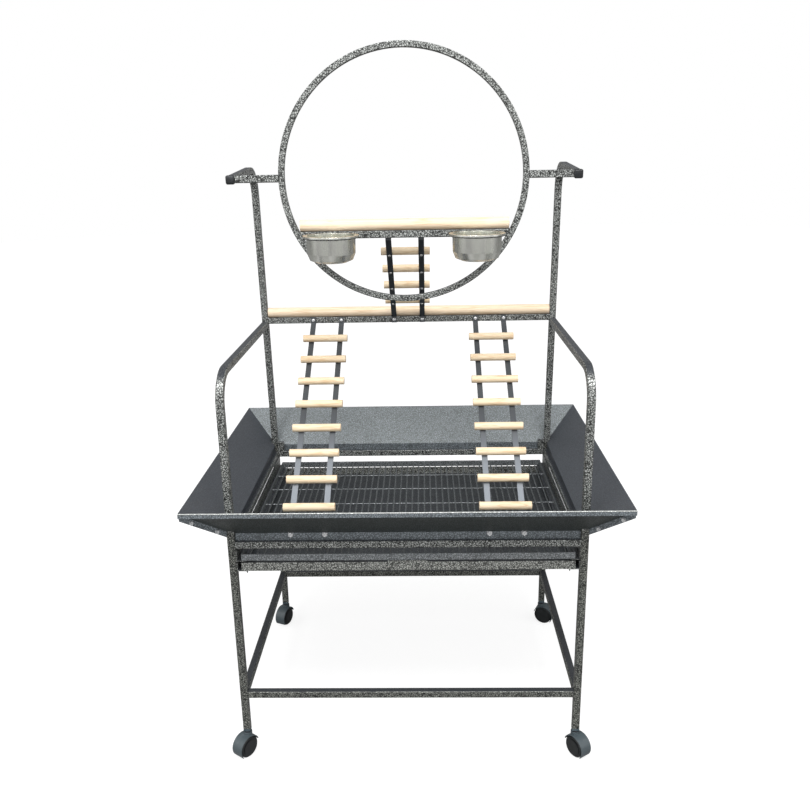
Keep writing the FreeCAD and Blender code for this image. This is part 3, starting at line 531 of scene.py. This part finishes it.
def build_pine():
    tree, given, result = node_group(
        "pine_grain",
        (
            ("Pale", "NodeSocketColor", (0.8, 0.7, 0.5, 1)),
            ("Late wood", "NodeSocketColor", (0.6, 0.45, 0.28, 1)),
            ("Stretch", "NodeSocketVector", (0.06, 1.0, 1.0)),
        ),
        (("Color", "NodeSocketColor"), ("Roughness", "NodeSocketFloat"), ("Height", "NodeSocketFloat")),
    )
    place = add_node(tree, "ShaderNodeTexCoord")
    along = add_node(
        tree, "ShaderNodeVectorMath", [(0, place, "Object"), (1, given, "Stretch")], operation="MULTIPLY"
    )
    growth = add_node(tree, "ShaderNodeTexNoise", [("Vector", along, "Vector")], scale=95.0, detail=2.0)
    rings = add_node(tree, "ShaderNodeMath", [(0, growth, "Fac")], operation="MULTIPLY")
    ring_repeats = 9.0
    rings.inputs[1].default_value = ring_repeats
    beat = add_node(tree, "ShaderNodeMath", [(0, rings, "Value")], operation="PINGPONG")
    beat.inputs[1].default_value = 1.0
    late = ramp(tree, beat, "Value", 0.55, 1.0, 0.0, 0.75)
    pores = add_node(tree, "ShaderNodeTexNoise", [("Vector", along, "Vector")], scale=900.0, detail=3.0)
    pore_mark = ramp(tree, pores, "Fac", 0.52, 0.75, 0.0, 0.35)
    marks = add_node(
        tree, "ShaderNodeMath", [(0, late, "Result"), (1, pore_mark, "Result")], operation="ADD"
    )
    blotch = add_node(tree, "ShaderNodeTexNoise", [("Vector", place, "Object")], scale=14.0, detail=2.0)
    tone = ramp(tree, blotch, "Fac", 0.3, 0.7, -0.12, 0.25)
    total = add_node(tree, "ShaderNodeMath", [(0, marks, "Value"), (1, tone, "Result")], operation="ADD")
    total.use_clamp = True
    colour = blend_colours(tree, total, "Value", (given, "Pale"), (given, "Late wood"))
    rough = ramp(tree, marks, "Value", 0.0, 1.0, 0.62, 0.50)
    tree.links.new(colour.outputs[2], result.inputs["Color"])
    tree.links.new(rough.outputs["Result"], result.inputs["Roughness"])
    tree.links.new(pores.outputs["Fac"], result.inputs["Height"])
    return tree


PINE = build_pine()
perch_pine = finished(
    "perch_pine",
    PINE,
    {"Pale": (0.87, 0.71, 0.53), "Late wood": (0.70, 0.52, 0.34), "Stretch": (0.05, 1.0, 1.0)},
    bump=0.15,
    specular=0.35,
)
rung_pine = finished(
    "rung_pine",
    PINE,
    {"Pale": (0.90, 0.74, 0.53), "Late wood": (0.74, 0.53, 0.32), "Stretch": (0.09, 1.0, 1.0)},
    bump=0.15,
    specular=0.35,
)
dress(perch_pine, "main_perch", "ring_perch")

# ---------------------------------------------------------------------------
# Ladders: bent flat steel straps with short pine rungs screwed on from below.
# A bolt through each end tab fixes the straps to the perch bar, the front
# guard and the crossbar.
# ---------------------------------------------------------------------------

strap_paint = finished(
    "strap_paint",
    HAMMERTONE,
    {
        "Outline": (0.06, 0.065, 0.07),
        "Cell": (0.12, 0.13, 0.14),
        "Cells per metre": 260.0,
        "Evenness": 0.6,
        "Painted top light and shade": (0.075, 0.082, 0.09),
        "Painted under shade": (0.022, 0.027, 0.034),
    },
    metallic=0.3,
    bump=0.2,
)
# The straps are paler low down, over the tray, than high up: this paleness is painted light.
straps_tree = strap_paint.node_tree
straps_shader = straps_tree.nodes["Principled BSDF"]
straps_coat = straps_shader.inputs["Base Color"].links[0].from_node
straps_place = add_node(straps_tree, "ShaderNodeTexCoord")
straps_height = add_node(straps_tree, "ShaderNodeSeparateXYZ", [("Vector", straps_place, "Object")])
straps_painted_light_mask = ramp(straps_tree, straps_height, "Z", 0.62, 0.74, 0.75, 0.0)
straps_with_painted_light = blend_colours(straps_tree, straps_painted_light_mask, "Result", (straps_coat, "Color"), (0.34, 0.37, 0.41))
straps_tree.links.new(straps_with_painted_light.outputs[2], straps_shader.inputs["Base Color"])
ladder_bolts = bmesh.new()
rung_screws = bmesh.new()
tab_head = dome_head(across=0.0095, height=0.003)
flange_head = hex_head(across=0.010, height=0.0045)
rung_head = dome_head(across=0.007, height=0.0018)
half_rung, half_strap, rung_to_under_face = 0.009, 0.0065, 0.0032
for name, count in (("left", 8), ("right", 8), ("rear", 4)):
    straps, rungs = "ladder_%s_straps" % name, "ladder_%s_rungs" % name
    dress(strap_paint, straps)
    dress(rung_pine, rungs)
    strap_low, strap_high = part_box(straps)
    rung_low, rung_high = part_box(rungs)
    first = Vector((0, rung_low.y + half_rung, rung_low.z + half_rung))
    last = Vector((0, rung_high.y - half_rung, rung_high.z - half_rung))
    if name == "rear":
        first.z, last.z = last.z, first.z
    along = (last - first).normalized()
    beneath = Vector((0, along.z, -along.y))
    if beneath.z > 0:
        beneath = -beneath
    for number in range(count):
        middle = first + (last - first) * (number / (count - 1))
        for x in (strap_low.x + half_strap, strap_high.x - half_strap):
            spot = Vector((x, middle.y, middle.z)) + beneath * (half_rung + rung_to_under_face)
            fasten(rung_screws, rung_head, spot, beneath)

# One bolt goes through each tab: six at the perch bar, four at the front guard, two at the crossbar.
bolt_to_end, tab_sheet = 0.008, 0.003
outer_x, inner_x, rear_x = 0.2475, 0.1745, 0.0365
flange_outside_y, flange_inside_y = -0.2821, -0.2779
bar_front_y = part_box("perch_bar")[0].y
front_foot, front_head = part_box("ladder_left_straps")
rear_low, rear_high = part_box("ladder_rear_straps")
head_z = front_head.z - bolt_to_end
foot_z = front_foot.z + bolt_to_end
crossbar_bolt_z = rear_high.z - bolt_to_end
for x in (-outer_x, -inner_x, -rear_x, rear_x, inner_x, outer_x):
    fasten(ladder_bolts, tab_head, (x, bar_front_y - tab_sheet, head_z), (0, -1, 0))
for x in (-outer_x, -inner_x, inner_x, outer_x):
    fasten(ladder_bolts, flange_head, (x, flange_outside_y, foot_z), (0, -1, 0))
    fasten(ladder_bolts, tab_head, (x, flange_inside_y, foot_z), (0, 1, 0))
for x in (-rear_x, rear_x):
    fasten(ladder_bolts, tab_head, (x, rear_low.y + tab_sheet, crossbar_bolt_z), (0, 1, 0))
make_piece(ladder_bolts, "ladder_bolts", zinc, "stand")
make_piece(rung_screws, "rung_screws", zinc, "stand")

# ---------------------------------------------------------------------------
# Feeding bowls: spun stainless steel cups with a turned-out rim, hung in wire
# hoops that are welded to the crossbar and painted with it.
# ---------------------------------------------------------------------------

stainless = finished(
    "stainless",
    PLATED,
    {"Bright": (1.0, 1.0, 0.94), "Dull": (0.66, 0.67, 0.61), "Stretch": (0.22, 0.22, 0.02)},
    metallic=1.0,
    bump=0.05,
    depth=0.0001,
)
for side in SIDES:
    dress(stainless, "bowl_" + side)
    dress(frame_paint, "bowl_holder_" + side)

# ---------------------------------------------------------------------------
# Casters: a moulded hood over twin wheels on a dark steel grip stem, pushed
# into a grey plug in the leg. Each wheel has a pressed-in hub cap.
# ---------------------------------------------------------------------------

wheel_plastic = finished(
    "wheel_plastic", MOULDED, {"Tint": (0.010, 0.012, 0.013), "Dust": (0.05, 0.055, 0.06)}, bump=0.15
)
hood_plastic = finished(
    "hood_plastic",
    MOULDED,
    {"Tint": (0.062, 0.082, 0.092), "Dust": (0.12, 0.14, 0.155)},
    bump=0.1,
    coat=0.3,
)
socket_plastic = finished(
    "socket_plastic", MOULDED, {"Tint": (0.05, 0.075, 0.09), "Dust": (0.14, 0.17, 0.19)}, bump=0.1
)
dress(socket_plastic, "caster_sockets")


def pressed_cap(radius):
    """A round cap with a raised edge, a shallow well and a button in the middle, made on +Z."""
    mesh = bmesh.new()
    bmesh.ops.create_circle(mesh, cap_ends=True, segments=40, radius=radius)
    mesh.faces.ensure_lookup_table()
    middle = mesh.faces[0]
    steps = ((0.04, 0.0009), (0.12, 0.0), (0.04, -0.0006), (0.45, 0.0004), (0.06, 0.0010), (0.05, 0.0))
    for inset, lift in steps:
        bmesh.ops.inset_region(mesh, faces=[middle], thickness=radius * inset, depth=0.0)
        bmesh.ops.translate(mesh, verts=list(middle.verts), vec=(0, 0, lift))
    made = bpy.data.meshes.new("pressed_cap")
    mesh.to_mesh(made)
    mesh.free()
    return made


hub_cap = pressed_cap(radius=0.0185)
cap_lift = 0.00005
black_steel = finished(
    "black_steel",
    PLATED,
    {"Bright": (0.10, 0.10, 0.11), "Dull": (0.05, 0.05, 0.06), "Stretch": (1.0, 1.0, 1.0)},
    metallic=0.6,
)
for corner in CORNERS:
    dress(hood_plastic, "caster_%s_hood" % corner)
    dress(wheel_plastic, "caster_%s_wheels" % corner)
    dress(black_steel, "caster_%s_stem" % corner)
    roll = next(j for j in frame["joints"] if j["name"] == corner + "_roll")
    centre, axle = Vector(roll["pos_m"]), Vector(roll["axis"]).normalized()
    wheels = frame["nodes"]["caster_%s_wheels" % corner]
    reach = max((v.co - centre).dot(axle) for v in wheels.data.vertices)
    hub_caps = bmesh.new()
    for way in (-1, 1):
        fasten(hub_caps, hub_cap, centre + axle * way * (reach + cap_lift), axle * way)
    make_piece(hub_caps, "hub_caps_" + corner, wheel_plastic, corner + "_wheels")

# ---------------------------------------------------------------------------
# Studio: a plain pale floor with a white surround, a broad soft lamp high in
# front and weaker ones at the sides.
# ---------------------------------------------------------------------------

floor_mesh = bmesh.new()
bmesh.ops.create_circle(floor_mesh, cap_ends=True, segments=64, radius=14.0)
floor_data = bpy.data.meshes.new("floor")
floor_mesh.to_mesh(floor_data)
floor_mesh.free()
floor = bpy.data.objects.new("floor", floor_data)
bpy.context.scene.collection.objects.link(floor)
floor_finish = bpy.data.materials.new("floor_finish")
floor_finish.use_nodes = True
floor_tree = floor_finish.node_tree
floor_shader = floor_tree.nodes["Principled BSDF"]
floor_shader.inputs["Base Color"].default_value = (0.32, 0.32, 0.32, 1)
floor_rays = floor_tree.nodes.new("ShaderNodeLightPath")
floor_shader.inputs["Emission Color"].default_value = (1, 1, 1, 1)
floor_lift = ramp(floor_tree, floor_rays, "Is Camera Ray", 0.0, 1.0, 0.0, 0.82)
floor_lift.interpolation_type = "LINEAR"
floor_tree.links.new(floor_lift.outputs["Result"], floor_shader.inputs["Emission Strength"])
floor_shader.inputs["Roughness"].default_value = 0.9
floor_data.materials.append(floor_finish)

world = bpy.data.worlds.new("studio")
bpy.context.scene.world = world
world.use_nodes = True
sky = world.node_tree
backdrop = sky.nodes["Background"]
backdrop.inputs["Color"].default_value = (1, 1, 1, 1)
rays = sky.nodes.new("ShaderNodeLightPath")
# The room is bright in front of the stand and dim behind it; only the camera sees it white.
direction = sky.nodes.new("ShaderNodeTexCoord")
towards = add_node(sky, "ShaderNodeSeparateXYZ", [("Vector", direction, "Generated")])
room = ramp(sky, towards, "Y", -0.35, 0.25, 1.15, 0.28)
level = add_node(
    sky, "ShaderNodeMath", [(0, rays, "Is Camera Ray"), (1, room, "Result")], operation="MAXIMUM"
)
sky.links.new(level.outputs["Value"], backdrop.inputs["Strength"])


def soft_lamp(name, spot, aim, size, power):
    """A rectangular lamp at a spot, turned towards its aim."""
    lamp = bpy.data.lights.new(name, "AREA")
    lamp.shape = "RECTANGLE"
    lamp.size, lamp.size_y = size
    lamp.energy = power
    holder = bpy.data.objects.new(name, lamp)
    bpy.context.scene.collection.objects.link(holder)
    holder.location = spot
    holder.rotation_euler = (Vector(aim) - Vector(spot)).to_track_quat("-Z", "Y").to_euler()


soft_lamp("front_lamp", (-0.1, -1.9, 3.6), (0, 0, 0.8), (2.6, 1.2), 95.0)
soft_lamp("left_lamp", (-3.2, -0.8, 2.0), (0, 0, 0.7), (1.6, 2.4), 6.0)
soft_lamp("right_lamp", (3.2, -0.8, 2.0), (0, 0, 0.7), (1.6, 2.4), 6.0)

# Camera: standing a little right of the middle and above the ring's centre, looking down.
camera_data = bpy.data.cameras.new("camera")
camera = bpy.data.objects.new("camera", camera_data)
bpy.context.scene.collection.objects.link(camera)
picture = 810.0
focal, centre_x, centre_y = 833.17, 402.83, 405.87
film_width = 36.0
standing_at = (0.0397, -1.8920, 1.3242)
yaw, pitch, roll = math.radians(-1.55), math.radians(16.88), math.radians(-1.08)
ahead = Vector((math.sin(yaw) * math.cos(pitch), math.cos(yaw) * math.cos(pitch), -math.sin(pitch)))
level_right = Vector((math.cos(yaw), -math.sin(yaw), 0))
level_up = level_right.cross(ahead)
right = level_right * math.cos(roll) + level_up * math.sin(roll)
up = level_up * math.cos(roll) - level_right * math.sin(roll)
camera.matrix_world = Matrix.Translation(standing_at) @ Matrix(
    (
        (right.x, up.x, -ahead.x, 0),
        (right.y, up.y, -ahead.y, 0),
        (right.z, up.z, -ahead.z, 0),
        (0, 0, 0, 1),
    )
)
camera_data.sensor_width = film_width
camera_data.lens = film_width * focal / picture
camera_data.shift_x = (picture / 2 - centre_x) / picture
camera_data.shift_y = (centre_y - picture / 2) / picture
camera_data.clip_end = 100.0
bpy.context.scene.camera = camera
bpy.context.scene.view_settings.view_transform = "Standard"
